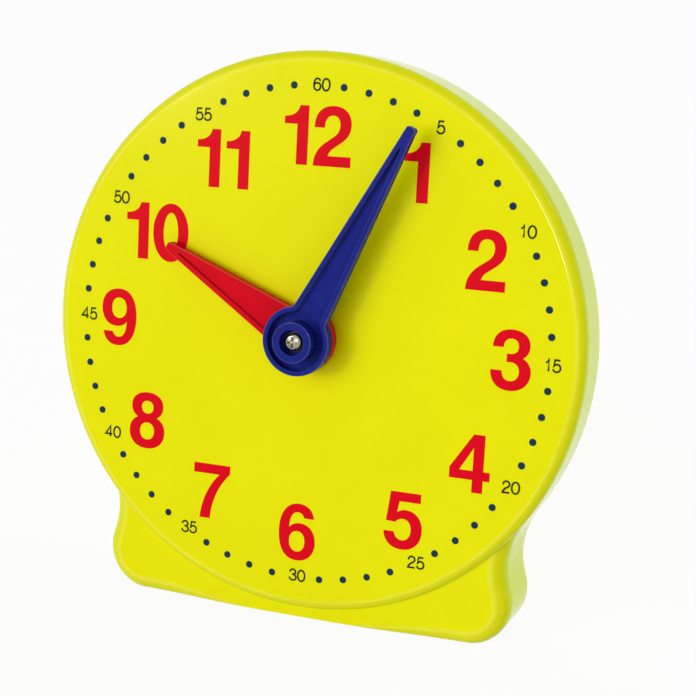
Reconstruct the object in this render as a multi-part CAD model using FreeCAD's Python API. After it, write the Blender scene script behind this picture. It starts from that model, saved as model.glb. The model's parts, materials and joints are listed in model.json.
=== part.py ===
import FreeCAD, Part
import math
import os
from FreeCAD import Vector

# Geared teaching clock, in millimetres
#
# A pupil's clock of moulded plastic: a round dial on a leaning foot, a red hour hand and a
# blue minute hand, and behind the dial a two stage gear train that turns the hour hand once
# for every twelve turns of the minute hand.
#
# Everything is drawn in the dial's own frame: X to the right, Y into the case, Z up along
# the dial, with the origin at the dial's centre on its front face. The last step leans the
# clock back and stands it on the table.

# Case
DIAL_RADIUS = 61.8
CASE_WALL = 2.0
DIAL_EDGE_RADIUS = 2.3
BACK_EDGE_CHAMFER = 0.5

# Foot
LEAN_DEG = 8.8
RIM_TO_TABLE = 2.0
FOOT_STEP = 2.0
FOOT_DEPTH = 19.3
FOOT_EDGE_RADIUS = 3.7
SOLE_EDGE_RADIUS = 0.5
SOLE_EDGE_FADE = 32.0
FOOT_HALF_WIDTH = 49.4
FOOT_BULGE_RADIUS = 32.0
FOOT_BULGE_RISE = 4.5
FOOT_CORNER_RADIUS = 10.0
FOOT_SIDE_HEIGHT = 1.65
FOOT_TRIM = 1.0
BACK_SLOPE_TOP = 33.0
BACK_SLOPE_FOOT = 24.0
FOOT_RIB_HEIGHT = 18.0
FOOT_RIB_SPACING = 26.0
FOOT_RIB_THICKNESS = 1.4

# Rear cover
COVER_THICKNESS = 1.8
COVER_INSET = 0.2
COVER_GAP = 0.2
COVER_CLEARANCE = 0.35
COVER_PANEL_DEPTH = 0.5
COVER_PANEL_MARGIN = 5.0
COVER_BOSS_RADIUS = 3.2
COVER_BOSS_INSET = 4.0
COVER_BOSS_DEGS = (40.0, 117.0)

# Gears
MODULE = 0.9
PRESSURE_DEG = 20.0
MINUTE_PINION_TEETH = 15
TRANSFER_WHEEL_TEETH = 45
TRANSFER_PINION_TEETH = 12
HOUR_WHEEL_TEETH = 48
PINION_ADDENDUM = 1.0
WHEEL_ADDENDUM = 0.75
DEDENDUM = 1.3
TOOTH_THINNING = 0.13
HOUR_WHEEL_WIDTH = 2.2
TRANSFER_WHEEL_WIDTH = 1.7
MINUTE_PINION_WIDTH = 1.9
WHEEL_WEB_THICKNESS = 1.2
WHEEL_RIM_WIDTH = 2.6
WHEEL_HUB_RADIUS = 6.4
WEB_HOLE_COUNT = 5
WEB_HOLE_RADIUS = 2.4

# Shafts and their bearings
ARBOR_RADIUS = 2.0
ARBOR_JOURNAL_RADIUS = 1.5
PIPE_WALL = 1.35
BUSH_WALL = 1.15
BUSH_FLANGE_RADIUS = 6.6
BUSH_FLANGE_THICKNESS = 0.8
BUSH_STAND = 0.7
BRIDGE_BUSH_RADIUS = 2.7
PIN_RADIUS = 1.5
PIN_SEAT_DEPTH = 1.0
PIN_BOSS_RADIUS = 3.4
THRUST_WASHER_THICKNESS = 0.3
RUNNING_CLEARANCE = 0.05
END_PLAY = 0.3
ROW_GAP = 0.4
CLIP_RADIUS = 3.0
CLIP_THICKNESS = 0.5
CLIP_MOUTH = 1.6
FLAT_DEPTH = 0.45

# Bridge that carries the back ends of the shafts
BRIDGE_THICKNESS = 1.5
BRIDGE_ARM_RADIUS = 4.6
BRIDGE_POST_RADIUS = 3.2
POST_TO_GEAR = 1.6

# Friction spring: a dished washer that holds the hands where they are set
SPRING_THICKNESS = 0.25
SPRING_DISH = 0.45
SPRING_RADIUS = 4.2

# Hour hand, heights above the dial
HOUR_HAND_DEG = 298.1
HOUR_HAND_LENGTH = 37.6
HOUR_HUB_RADIUS = 7.3
HOUR_ROOT_HALF_WIDTH = 5.25
HOUR_TIP_HALF_WIDTH = 0.95
HOUR_UNDERSIDE = 1.1
HOUR_THICKNESS = 2.3
HOUR_RIM_WIDTH = 1.2
HOUR_CHANNEL_DEPTH = 0.7
HOUR_CHANNEL_END = 3.5

# Minute hand, heights above the dial
MINUTE_HAND_DEG = 26.5
MINUTE_HAND_LENGTH = 52.5
MINUTE_HUB_RADIUS = 7.6
MINUTE_ROOT_HALF_WIDTH = 4.55
MINUTE_TIP_HALF_WIDTH = 1.0
HAND_GAP = 0.6
MINUTE_HUB_FLOOR = 1.0
MINUTE_HUB_DEPTH = 2.0
MINUTE_ARM_THICKNESS = 2.0
MINUTE_CHANNEL_DEPTH = 1.1
MINUTE_CHANNEL_END = 5.0
MINUTE_RIM_WIDTH = 1.1
BOSS_RADIUS = 4.45
BOSS_ABOVE_RIM = 2.2
BOSS_BORE_RADIUS = 2.85
HAND_SEAT_THICKNESS = 0.9
POINT_HALF_WIDTH = 0.02
HAND_JOIN_RADIUS = 1.5
HAND_TIP_RADIUS = 0.6
HAND_EDGE_RADIUS = 0.25

# Screws and washer
HAND_SCREW_RADIUS = 1.0
HAND_SCREW_LENGTH = 8.0
HAND_SCREW_HEAD_RADIUS = 1.95
HAND_SCREW_HEAD_HEIGHT = 1.4
HAND_WASHER_RADIUS = 2.2
HAND_WASHER_THICKNESS = 0.4
CASE_SCREW_RADIUS = 1.15
CASE_SCREW_LENGTH = 6.5
CASE_SCREW_HEAD_RADIUS = 2.3
CASE_SCREW_HEAD_HEIGHT = 1.3
SCREW_HEAD_GAP = 0.3
SCREW_SEAT = 0.9
CROSS_DEPTH_SHARE = 0.6

INTO_CASE = Vector(0, 1, 0)
DIAL_CENTRE = Vector(0, 0, 0)
MARGIN = 40.0

# Heights and depths that follow from the sizes above
CENTRE_HEIGHT = DIAL_RADIUS + RIM_TO_TABLE
FOOT_BOTTOM = -(CENTRE_HEIGHT + FOOT_TRIM)
PIPE_BORE_RADIUS = ARBOR_RADIUS + RUNNING_CLEARANCE
PIPE_RADIUS = PIPE_BORE_RADIUS + PIPE_WALL
BUSH_BORE_RADIUS = PIPE_RADIUS + RUNNING_CLEARANCE
BUSH_RADIUS = BUSH_BORE_RADIUS + BUSH_WALL
BUSH_BACK = CASE_WALL + BUSH_FLANGE_THICKNESS
HOUR_WHEEL_FRONT = BUSH_BACK + THRUST_WASHER_THICKNESS + END_PLAY
HOUR_WHEEL_BACK = HOUR_WHEEL_FRONT + HOUR_WHEEL_WIDTH
SECOND_ROW_FRONT = HOUR_WHEEL_BACK + ROW_GAP
MINUTE_PINION_BACK = SECOND_ROW_FRONT + MINUTE_PINION_WIDTH
BRIDGE_FRONT = MINUTE_PINION_BACK + SPRING_DISH + SPRING_THICKNESS + RUNNING_CLEARANCE
BRIDGE_BACK = BRIDGE_FRONT + BRIDGE_THICKNESS
CLIP_FRONT = BRIDGE_BACK + END_PLAY
CLIP_BACK = CLIP_FRONT + CLIP_THICKNESS
ARBOR_END = CLIP_BACK + END_PLAY
COVER_FRONT = ARBOR_END + COVER_CLEARANCE
CASE_DEPTH = COVER_FRONT + COVER_THICKNESS + COVER_INSET
HOUR_TOP = HOUR_UNDERSIDE + HOUR_THICKNESS
MINUTE_UNDERSIDE = HOUR_TOP + HAND_GAP
MINUTE_FLOOR = MINUTE_UNDERSIDE + MINUTE_HUB_FLOOR
MINUTE_RIM_TOP = MINUTE_FLOOR + MINUTE_HUB_DEPTH
MINUTE_BOSS_TOP = MINUTE_RIM_TOP + BOSS_ABOVE_RIM
SCREW_SEAT_HEIGHT = MINUTE_FLOOR + 2 * HAND_SEAT_THICKNESS
ARBOR_TOP = SCREW_SEAT_HEIGHT - HAND_SEAT_THICKNESS


def cylinder(radius, start, end, x=0.0, z=0.0):
    """A round bar along Y, from one depth to another."""
    return Part.makeCylinder(radius, end - start, Vector(x, start, z), INTO_CASE)


def ring(inner, outer, start, end, z=0.0):
    """A washer about the shaft line, or about a line a height above it."""
    return cylinder(outer, start, end, 0.0, z).cut(cylinder(inner, start, end, 0.0, z))


def turned(points):
    """A solid of revolution about the shaft line, from (radius, depth) corners."""
    corners = [Vector(r, y, 0) for r, y in points]
    face = Part.Face(Part.makePolygon(corners + corners[:1]))
    return face.revolve(DIAL_CENTRE, INTO_CASE, 360)


def fuse(first, *others):
    return first.multiFuse(list(others)).removeSplitter()


def edges_where(shape, test):
    """The edges whose every end and middle point passes the test."""
    chosen = []
    for edge in shape.Edges:
        points = [edge.valueAt(edge.FirstParameter), edge.valueAt(edge.LastParameter)]
        points.append(edge.valueAt((edge.FirstParameter + edge.LastParameter) / 2))
        if all(test(p) for p in points):
            chosen.append(edge)
    return chosen


def clock_turn(shape, degrees):
    """Turns a shape clockwise about the dial's centre, as seen from the front."""
    turned_shape = shape.copy()
    turned_shape.rotate(DIAL_CENTRE, INTO_CASE, degrees)
    return turned_shape


# The case outline: a circle that runs through hollow waists into a bulging foot

def arc_between(centre_x, centre_z, radius, start, end, clockwise):
    """An arc about a centre, from one point to another."""
    a = math.atan2(start[1] - centre_z, start[0] - centre_x)
    b = math.atan2(end[1] - centre_z, end[0] - centre_x)
    sweep = (a - b) % (2 * math.pi) if clockwise else -((b - a) % (2 * math.pi))
    m = a - sweep / 2
    middle = Vector(centre_x + radius * math.cos(m), 0, centre_z + radius * math.sin(m))
    ends = Vector(start[0], 0, start[1]), Vector(end[0], 0, end[1])
    return Part.Arc(ends[0], middle, ends[1]).toShape()


def along(start, end, distance):
    """The point at a distance from one point towards another."""
    length = math.hypot(end[0] - start[0], end[1] - start[1])
    share = distance / length
    return start[0] + (end[0] - start[0]) * share, start[1] + (end[1] - start[1]) * share


def foot_arcs():
    """Centres of the right hand waist, bulge and corner arcs, and the waist's radius."""
    bulge = (FOOT_HALF_WIDTH - FOOT_BULGE_RADIUS, FOOT_BOTTOM + FOOT_BULGE_RISE)
    corner_z = FOOT_BOTTOM + FOOT_CORNER_RADIUS
    reach = FOOT_BULGE_RADIUS - FOOT_CORNER_RADIUS
    corner = bulge[0] + math.sqrt(reach ** 2 - (corner_z - bulge[1]) ** 2), corner_z
    low = along(bulge, corner, FOOT_BULGE_RADIUS)
    up = (low[1] + FOOT_SIDE_HEIGHT - bulge[1]) / FOOT_BULGE_RADIUS
    unit = math.sqrt(1.0 - up ** 2), up
    step = DIAL_RADIUS - FOOT_BULGE_RADIUS
    toward = bulge[0] * unit[0] + bulge[1] * unit[1]
    span = (bulge[0] ** 2 + bulge[1] ** 2 - step ** 2) / (2 * (step - toward))
    waist = bulge[0] + span * unit[0], bulge[1] + span * unit[1]
    return waist, bulge, corner, span - FOOT_BULGE_RADIUS


def case_outline(inset):
    """The closed outline of the case, moved inwards by the inset."""
    waist, bulge, corner, waist_radius = foot_arcs()
    radius = DIAL_RADIUS - inset
    top = along((0.0, 0.0), waist, radius)
    middle = along(waist, bulge, waist_radius + inset)
    low = along(bulge, corner, FOOT_BULGE_RADIUS - inset)
    base = corner[0], FOOT_BOTTOM + inset
    right = [
        arc_between(waist[0], waist[1], waist_radius + inset, top, middle, False),
        arc_between(bulge[0], bulge[1], FOOT_BULGE_RADIUS - inset, middle, low, True),
        arc_between(corner[0], corner[1], FOOT_CORNER_RADIUS - inset, low, base, True),
    ]
    left = [edge.mirror(DIAL_CENTRE, Vector(1, 0, 0)) for edge in right]
    crown = arc_between(0.0, 0.0, radius, (-top[0], top[1]), top, True)
    fade = max(base[0] - SOLE_EDGE_FADE, 1.0)
    stops = [Vector(x, 0, base[1]) for x in (base[0], fade, -fade, -base[0])]
    sole = Part.makePolygon(stops).Edges
    return Part.Wire(Part.__sortEdges__([crown] + sole + right + left))


def case_prism(inset, start, end):
    """The case outline as a block, from one depth to another."""
    face = Part.Face(case_outline(inset))
    face.translate(Vector(0, start, 0))
    return face.extrude(Vector(0, end - start, 0))


def back_profile(depth):
    """Corners of the case's back, from the dial down to the foot, as (depth, height)."""
    foot_depth = depth + FOOT_DEPTH - CASE_DEPTH
    slope_top = BACK_SLOPE_TOP - CENTRE_HEIGHT
    slope_foot = BACK_SLOPE_FOOT - CENTRE_HEIGHT
    below = -(CENTRE_HEIGHT + MARGIN)
    return [(depth, slope_top), (foot_depth, slope_foot), (foot_depth, below)]


def back_block(depth):
    """Everything in front of the case's back: flat behind the dial, deeper at the foot."""
    top = DIAL_RADIUS + MARGIN
    below = -(CENTRE_HEIGHT + MARGIN)
    corners = [(-MARGIN, top), (depth, top)] + back_profile(depth) + [(-MARGIN, below)]
    points = [Vector(-2 * DIAL_RADIUS, y, z) for y, z in corners]
    face = Part.Face(Part.makePolygon(points + points[:1]))
    return face.extrude(Vector(4 * DIAL_RADIUS, 0, 0))


def table_block(clearance):
    """Everything above the table, by a clearance, seen in the leaning dial's frame."""
    width = 4 * DIAL_RADIUS
    block = Part.makeBox(width, width, width, Vector(-width / 2, -width / 2, 0))
    block.translate(Vector(0, 0, clearance - CENTRE_HEIGHT))
    block.rotate(DIAL_CENTRE, Vector(1, 0, 0), LEAN_DEG)
    return block


def dial_disc():
    """The raised round front of the case with its rounded edge."""
    inner = DIAL_RADIUS - DIAL_EDGE_RADIUS
    turn = DIAL_EDGE_RADIUS * math.sqrt(0.5)
    back = FOOT_STEP + FOOT_EDGE_RADIUS + CASE_WALL
    rounding = Part.Arc(
        Vector(inner, 0, 0),
        Vector(inner + turn, DIAL_EDGE_RADIUS - turn, 0),
        Vector(DIAL_RADIUS, DIAL_EDGE_RADIUS, 0),
    ).toShape()
    corners = [Vector(DIAL_RADIUS, DIAL_EDGE_RADIUS, 0), Vector(DIAL_RADIUS, back, 0)]
    corners += [Vector(0, back, 0), DIAL_CENTRE, Vector(inner, 0, 0)]
    sides = Part.makePolygon(corners).Edges
    face = Part.Face(Part.Wire([rounding] + sides))
    return face.revolve(DIAL_CENTRE, INTO_CASE, 360)


def rounded_front(block, front, radius, sole_radius):
    """Rounds a block's front edges; the rounding fades along the sole to its middle."""
    lowest = block.BoundBox.ZMin
    ends = [v.X for v in block.Vertexes if abs(v.Z - lowest) < 1e-6]

    def radius_at(point):
        on_sole = abs(point.z - lowest) < 1e-6
        return sole_radius if on_sole and abs(point.x) < max(ends) - 1e-6 else radius
    rounds = []
    for number, edge in enumerate(block.Edges, start=1):
        start = edge.valueAt(edge.FirstParameter)
        end = edge.valueAt(edge.LastParameter)
        middle = edge.valueAt((edge.FirstParameter + edge.LastParameter) / 2)
        if all(abs(p.y - front) < 1e-6 for p in (start, middle, end)):
            rounds.append((number, radius_at(start), radius_at(end)))
    document = FreeCAD.newDocument()
    source = document.addObject("Part::Feature", "block")
    source.Shape = block
    fillet = document.addObject("Part::Fillet", "rounded")
    fillet.Base = source
    fillet.Edges = rounds
    document.recompute()
    shape = fillet.Shape.copy()
    FreeCAD.closeDocument(document.Name)
    return shape


def case_body():
    """The outside of the case, still solid, with the back's outer edge broken."""
    deep = CASE_DEPTH + DIAL_RADIUS
    foot = case_prism(0.0, FOOT_STEP, deep)
    foot = rounded_front(foot, FOOT_STEP, FOOT_EDGE_RADIUS, SOLE_EDGE_RADIUS)
    body = fuse(foot, dial_disc()).common(back_block(CASE_DEPTH)).common(table_block(0.0))
    lean = math.radians(LEAN_DEG)
    (_, slope_top), (_, slope_foot), _ = back_profile(CASE_DEPTH)
    slope = (FOOT_DEPTH - CASE_DEPTH) / (slope_top - slope_foot)

    def on_back(p):
        drop = min(max(0.0, slope_top - p.z), slope_top - slope_foot)
        above_table = p.z * math.cos(lean) - p.y * math.sin(lean) + CENTRE_HEIGHT
        return abs(p.y - CASE_DEPTH - drop * slope) < 1e-4 and above_table > 1e-4
    return body.makeChamfer(BACK_EDGE_CHAMFER, edges_where(body, on_back))


def case_hollow():
    """The room inside the case."""
    deep = CASE_DEPTH + DIAL_RADIUS
    room = case_prism(CASE_WALL, FOOT_STEP + CASE_WALL, deep)
    behind_dial = cylinder(DIAL_RADIUS - CASE_WALL, CASE_WALL, deep)
    return fuse(room, behind_dial).common(table_block(CASE_WALL))


def cover_boss_places():
    reach = DIAL_RADIUS - CASE_WALL - COVER_BOSS_INSET - COVER_BOSS_RADIUS
    places = []
    for degrees in COVER_BOSS_DEGS:
        for side in (-1, 1):
            a = math.radians(side * degrees)
            places.append((reach * math.sin(a), reach * math.cos(a)))
    return places


def pitch_radius(teeth):
    return MODULE * teeth / 2


def shaft_distance():
    return pitch_radius(MINUTE_PINION_TEETH + TRANSFER_WHEEL_TEETH)


def bridge_post_places():
    """Three posts just outside the two large wheels."""
    tip = pitch_radius(HOUR_WHEEL_TEETH) + WHEEL_ADDENDUM * MODULE
    reach = tip + POST_TO_GEAR + BRIDGE_POST_RADIUS
    drop = shaft_distance() / 2
    side = math.sqrt(reach ** 2 - drop ** 2)
    return [(0.0, reach), (side, -drop), (-side, -drop)]


def foot_ribs():
    """Upright ribs that stiffen the foot, a little short of the rear cover."""
    ribs = []
    for side in (-1, 1):
        x = side * FOOT_RIB_SPACING - FOOT_RIB_THICKNESS / 2
        start = Vector(x, CASE_WALL, -CENTRE_HEIGHT)
        ribs.append(Part.makeBox(FOOT_RIB_THICKNESS, DIAL_RADIUS, FOOT_RIB_HEIGHT, start))
    limit = back_block(COVER_FRONT - COVER_GAP)
    return [rib.common(limit) for rib in ribs]


def front_case():
    body = case_body()
    inside = [cylinder(COVER_BOSS_RADIUS, CASE_WALL, COVER_FRONT, x, z)
              for x, z in cover_boss_places()]
    inside += [cylinder(BRIDGE_POST_RADIUS, CASE_WALL, BRIDGE_FRONT, x, z)
               for x, z in bridge_post_places()]
    pin_z = -shaft_distance()
    inside.append(cylinder(PIN_BOSS_RADIUS, CASE_WALL, BUSH_BACK, 0.0, pin_z))
    inside += foot_ribs()
    hollow = case_hollow()
    for piece in inside:
        hollow = hollow.cut(piece)
    shell = body.cut(hollow)
    holes = [cylinder(BUSH_RADIUS, -1.0, CASE_WALL + 1.0)]
    holes.append(cylinder(PIN_RADIUS, PIN_SEAT_DEPTH, HOUR_WHEEL_FRONT, 0.0, pin_z))
    for x, z in cover_boss_places():
        holes.append(screw_shank_space(x, z, cover_screw_seat()))
    for x, z in bridge_post_places():
        holes.append(screw_shank_space(x, z, bridge_screw_seat()))
    for hole in holes:
        shell = shell.cut(hole)
    return shell


# Rear cover: one plate, flat behind the dial and sloping with the foot

def cover_screw_seat():
    return COVER_FRONT + SCREW_SEAT


def bridge_screw_seat():
    return BRIDGE_FRONT + SCREW_SEAT


def screw_shank_space(x, z, seat):
    start = max(seat - CASE_SCREW_LENGTH, CASE_WALL)
    return cylinder(CASE_SCREW_RADIUS, start, seat, x, z)


def screw_head_space(x, z, seat):
    radius = CASE_SCREW_HEAD_RADIUS + SCREW_HEAD_GAP
    return cylinder(radius, seat, seat + CASE_DEPTH, x, z)


def rear_cover():
    inset = CASE_WALL + COVER_GAP
    deep = CASE_DEPTH + DIAL_RADIUS
    blank = case_prism(inset, CASE_WALL, deep).common(table_block(inset))
    back = back_block(COVER_FRONT + COVER_THICKNESS)
    plate = blank.common(back).cut(back_block(COVER_FRONT))
    panel_radius = DIAL_RADIUS - inset - COVER_PANEL_MARGIN
    panel_front = COVER_FRONT + COVER_THICKNESS - COVER_PANEL_DEPTH
    panel = cylinder(panel_radius, panel_front, CASE_DEPTH + 1.0)
    panel_foot = BACK_SLOPE_TOP - CENTRE_HEIGHT + COVER_PANEL_MARGIN
    keep = Part.makeBox(
        4 * DIAL_RADIUS, 4 * CASE_DEPTH, 2 * DIAL_RADIUS,
        Vector(-2 * DIAL_RADIUS, 0, panel_foot),
    )
    panel = panel.common(keep)
    for x, z in cover_boss_places():
        panel = panel.cut(cylinder(COVER_BOSS_RADIUS + 1.0, 0.0, CASE_DEPTH, x, z))
    plate = plate.cut(panel)
    for x, z in cover_boss_places():
        plate = plate.cut(screw_head_space(x, z, cover_screw_seat()))
        plate = plate.cut(cylinder(CASE_SCREW_RADIUS, 0.0, CASE_DEPTH, x, z))
    return plate


def gear_bridge():
    """The inner plate: round ended arms from the two shafts out to the three posts."""
    transfer = (0.0, -shaft_distance())
    arms = [arm((0.0, 0.0), place) for place in bridge_post_places()]
    arms.append(arm((0.0, 0.0), transfer))
    plate = fuse(*arms)
    plate = plate.cut(cylinder(BRIDGE_BUSH_RADIUS, 0.0, CASE_DEPTH))
    plate = plate.cut(cylinder(PIN_RADIUS, 0.0, CASE_DEPTH, *transfer))
    for x, z in bridge_post_places():
        plate = plate.cut(screw_head_space(x, z, bridge_screw_seat()))
        plate = plate.cut(cylinder(CASE_SCREW_RADIUS, 0.0, CASE_DEPTH, x, z))
    return plate


def arm(start, end):
    """A flat bar with round ends between two places."""
    length = math.hypot(end[0] - start[0], end[1] - start[1])
    bar = Part.makeBox(
        2 * BRIDGE_ARM_RADIUS, BRIDGE_THICKNESS, length,
        Vector(-BRIDGE_ARM_RADIUS, BRIDGE_FRONT, 0),
    )
    ends = [cylinder(BRIDGE_ARM_RADIUS, BRIDGE_FRONT, BRIDGE_BACK, 0.0, z) for z in (0.0, length)]
    shape = fuse(bar, *ends)
    degrees = math.degrees(math.atan2(end[0] - start[0], end[1] - start[1]))
    shape.rotate(DIAL_CENTRE, INTO_CASE, degrees)
    shape.translate(Vector(start[0], 0, start[1]))
    return shape


# Screws

def cross_recess(radius, seat, depth, towards):
    """The tapering cross that a screwdriver turns."""
    arms = []
    for size in ((radius, radius / 4), (radius / 4, radius)):
        box = Part.makeBox(2 * size[0], depth, 2 * size[1], Vector(-size[0], 0, -size[1]))
        box.translate(Vector(0, seat - (depth if towards > 0 else 0), 0))
        arms.append(box)
    return fuse(*arms)


def pan_screw(seat, towards, shank_radius, shank_length, head_radius, head_height):
    """A pan head screw on the shaft line; the head stands off its seat along Y."""
    crown = 0.65 * head_height
    shoulder = 0.72 * head_radius
    profile = [
        (0, -shank_length), (shank_radius * 0.5, -shank_length),
        (shank_radius, -shank_length + shank_radius), (shank_radius, 0),
        (head_radius, 0), (head_radius, head_height - crown * 0.8),
        (0.93 * head_radius, head_height - crown * 0.4), (shoulder, head_height - crown * 0.1),
        (0.4 * head_radius, head_height), (0, head_height),
    ]
    screw = turned([(r, seat + towards * y) for r, y in profile])
    recess = cross_recess(0.62 * head_radius, seat + towards * head_height,
                          CROSS_DEPTH_SHARE * head_height, towards)
    return screw.cut(recess)


def case_screws(places, seat):
    screws = []
    for x, z in places:
        screw = pan_screw(seat, 1, CASE_SCREW_RADIUS, CASE_SCREW_LENGTH,
                          CASE_SCREW_HEAD_RADIUS, CASE_SCREW_HEAD_HEIGHT)
        screw.translate(Vector(x, 0, z))
        screws.append(screw)
    return Part.makeCompound(screws)


def cover_screws():
    return case_screws(cover_boss_places(), cover_screw_seat())


def bridge_screws():
    return case_screws(bridge_post_places(), bridge_screw_seat())


def hand_screw():
    seat = -(SCREW_SEAT_HEIGHT + HAND_WASHER_THICKNESS)
    return pan_screw(seat, -1, HAND_SCREW_RADIUS, HAND_SCREW_LENGTH,
                     HAND_SCREW_HEAD_RADIUS, HAND_SCREW_HEAD_HEIGHT)


def hand_washer():
    back = -SCREW_SEAT_HEIGHT
    return ring(HAND_SCREW_RADIUS, HAND_WASHER_RADIUS, back - HAND_WASHER_THICKNESS, back)


# Gear teeth

def involute(base, radius):
    """The angle by which an involute has turned at a radius."""
    if radius <= base:
        return 0.0
    pressure = math.acos(base / radius)
    return math.tan(pressure) - pressure


def tooth_point(radius, angle):
    return Vector(radius * math.sin(angle), 0, radius * math.cos(angle))


def gear_outline(teeth, addendum):
    """A spur gear's outline with a tooth centred at the top."""
    pitch = pitch_radius(teeth)
    base = pitch * math.cos(math.radians(PRESSURE_DEG))
    tip = pitch + addendum * MODULE
    root = pitch - DEDENDUM * MODULE
    start = max(base, root)
    half_tooth = (math.pi * MODULE / 2 - TOOTH_THINNING) / (2 * pitch)
    at_base = half_tooth + involute(base, pitch)
    middle = (start + tip) / 2

    def half(radius):
        return at_base - involute(base, radius)
    step = 2 * math.pi / teeth
    edges = []
    for tooth in range(teeth):
        c = tooth * step
        flank = [tooth_point(r, c - half(r)) for r in (start, middle, tip)]
        other = [tooth_point(r, c + half(r)) for r in (tip, middle, start)]
        foot_in = tooth_point(root, c - half(start))
        foot_out = tooth_point(root, c + half(start))
        foot_next = tooth_point(root, c + step - half(start))
        if start > root:
            edges.append(Part.makeLine(foot_in, flank[0]))
        edges.append(Part.Arc(*flank).toShape())
        edges.append(Part.makeLine(flank[2], other[0]))
        edges.append(Part.Arc(*other).toShape())
        if start > root:
            edges.append(Part.makeLine(other[2], foot_out))
        edges.append(Part.makeLine(foot_out, foot_next))
    return Part.Wire(edges)


def gear(teeth, addendum, front, width):
    face = Part.Face(gear_outline(teeth, addendum))
    face.translate(Vector(0, front, 0))
    return face.extrude(Vector(0, width, 0))


def thin_web(wheel, teeth, front, width):
    """Thins a wheel between hub and rim from both sides and pierces it."""
    outer = pitch_radius(teeth) - DEDENDUM * MODULE - WHEEL_RIM_WIDTH
    recess = (width - WHEEL_WEB_THICKNESS) / 2
    band = ring(WHEEL_HUB_RADIUS, outer, front - 1.0, front + width + 1.0)
    web = cylinder(outer + 1.0, front + recess, front + width - recess)
    wheel = wheel.cut(band.cut(web))
    between = (outer + WHEEL_HUB_RADIUS) / 2
    for hole in range(WEB_HOLE_COUNT):
        a = 2 * math.pi * (hole + 0.5) / WEB_HOLE_COUNT
        x, z = between * math.sin(a), between * math.cos(a)
        wheel = wheel.cut(cylinder(WEB_HOLE_RADIUS, front, front + width, x, z))
    return wheel


def with_flats(bar, radius, start, end, degrees):
    """Mills two flats on a round bar between two depths."""
    across = radius - FLAT_DEPTH
    for side in (-1, 1):
        box = Part.makeBox(radius, end - start, 4 * radius, Vector(0, start, -2 * radius))
        box.translate(Vector(across if side > 0 else -across - radius, 0, 0))
        bar = bar.cut(clock_turn(box, degrees))
    return bar


def hour_wheel():
    """The large wheel, with a tooth gap facing the transfer pinion."""
    wheel = gear(HOUR_WHEEL_TEETH, WHEEL_ADDENDUM, HOUR_WHEEL_FRONT, HOUR_WHEEL_WIDTH)
    wheel = clock_turn(wheel, 180.0 / HOUR_WHEEL_TEETH)
    wheel = thin_web(wheel, HOUR_WHEEL_TEETH, HOUR_WHEEL_FRONT, HOUR_WHEEL_WIDTH)
    return wheel.cut(cylinder(PIPE_RADIUS, 0.0, CASE_DEPTH))


def hour_pipe():
    """The tube that carries the hour hand, with two flats at the hand's seat."""
    pipe = cylinder(PIPE_RADIUS, -HOUR_TOP, HOUR_WHEEL_BACK)
    pipe = with_flats(pipe, PIPE_RADIUS, -HOUR_TOP, -HOUR_UNDERSIDE, HOUR_HAND_DEG)
    return pipe.cut(cylinder(PIPE_BORE_RADIUS, -HOUR_TOP - 1.0, CASE_DEPTH))


def transfer_pinion():
    """The small gear between the shafts, with the spigot that takes the large one."""
    pinion = gear(TRANSFER_PINION_TEETH, PINION_ADDENDUM, HOUR_WHEEL_FRONT,
                  SECOND_ROW_FRONT - HOUR_WHEEL_FRONT)
    back = BRIDGE_FRONT - THRUST_WASHER_THICKNESS - END_PLAY
    shape = fuse(pinion, cylinder(PIN_BOSS_RADIUS, SECOND_ROW_FRONT, back))
    shape = shape.cut(cylinder(PIN_RADIUS + RUNNING_CLEARANCE, 0.0, CASE_DEPTH))
    shape.translate(Vector(0, 0, -shaft_distance()))
    return shape


def transfer_wheel():
    """The large gear between the shafts, with a tooth gap facing the minute pinion."""
    wheel = gear(TRANSFER_WHEEL_TEETH, WHEEL_ADDENDUM, SECOND_ROW_FRONT, TRANSFER_WHEEL_WIDTH)
    wheel = clock_turn(wheel, 180.0 / TRANSFER_WHEEL_TEETH)
    wheel = thin_web(wheel, TRANSFER_WHEEL_TEETH, SECOND_ROW_FRONT, TRANSFER_WHEEL_WIDTH)
    wheel = wheel.cut(cylinder(PIN_BOSS_RADIUS, 0.0, CASE_DEPTH))
    wheel.translate(Vector(0, 0, -shaft_distance()))
    return wheel


def hour_washer():
    """The thrust washer between the dial bush and the hour wheel."""
    back = BUSH_BACK + THRUST_WASHER_THICKNESS
    return ring(BUSH_BORE_RADIUS, BUSH_FLANGE_RADIUS, BUSH_BACK, back)


def transfer_washers():
    """Thrust washers on the pin, one on the case's boss and one on the bridge."""
    places = (BUSH_BACK, BRIDGE_FRONT - THRUST_WASHER_THICKNESS)
    return Part.makeCompound([
        ring(PIN_RADIUS, PIN_BOSS_RADIUS, start, start + THRUST_WASHER_THICKNESS,
             -shaft_distance())
        for start in places
    ])


def minute_pinion():
    """The driving gear, with a tooth facing the transfer wheel."""
    pinion = gear(MINUTE_PINION_TEETH, PINION_ADDENDUM, SECOND_ROW_FRONT, MINUTE_PINION_WIDTH)
    pinion = clock_turn(pinion, 180.0)
    return pinion.cut(cylinder(ARBOR_RADIUS, 0.0, CASE_DEPTH))


def minute_arbor():
    """The steel shaft through the whole movement, tapped for the hand screw."""
    shaft = cylinder(ARBOR_RADIUS, -ARBOR_TOP, MINUTE_PINION_BACK)
    shaft = with_flats(shaft, ARBOR_RADIUS, -ARBOR_TOP, -MINUTE_UNDERSIDE, MINUTE_HAND_DEG)
    shaft = fuse(shaft, cylinder(ARBOR_JOURNAL_RADIUS, MINUTE_PINION_BACK, ARBOR_END))
    tip = HAND_SCREW_LENGTH - SCREW_SEAT_HEIGHT - HAND_WASHER_THICKNESS
    return shaft.cut(cylinder(HAND_SCREW_RADIUS, -ARBOR_TOP - 1.0, tip))


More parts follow.
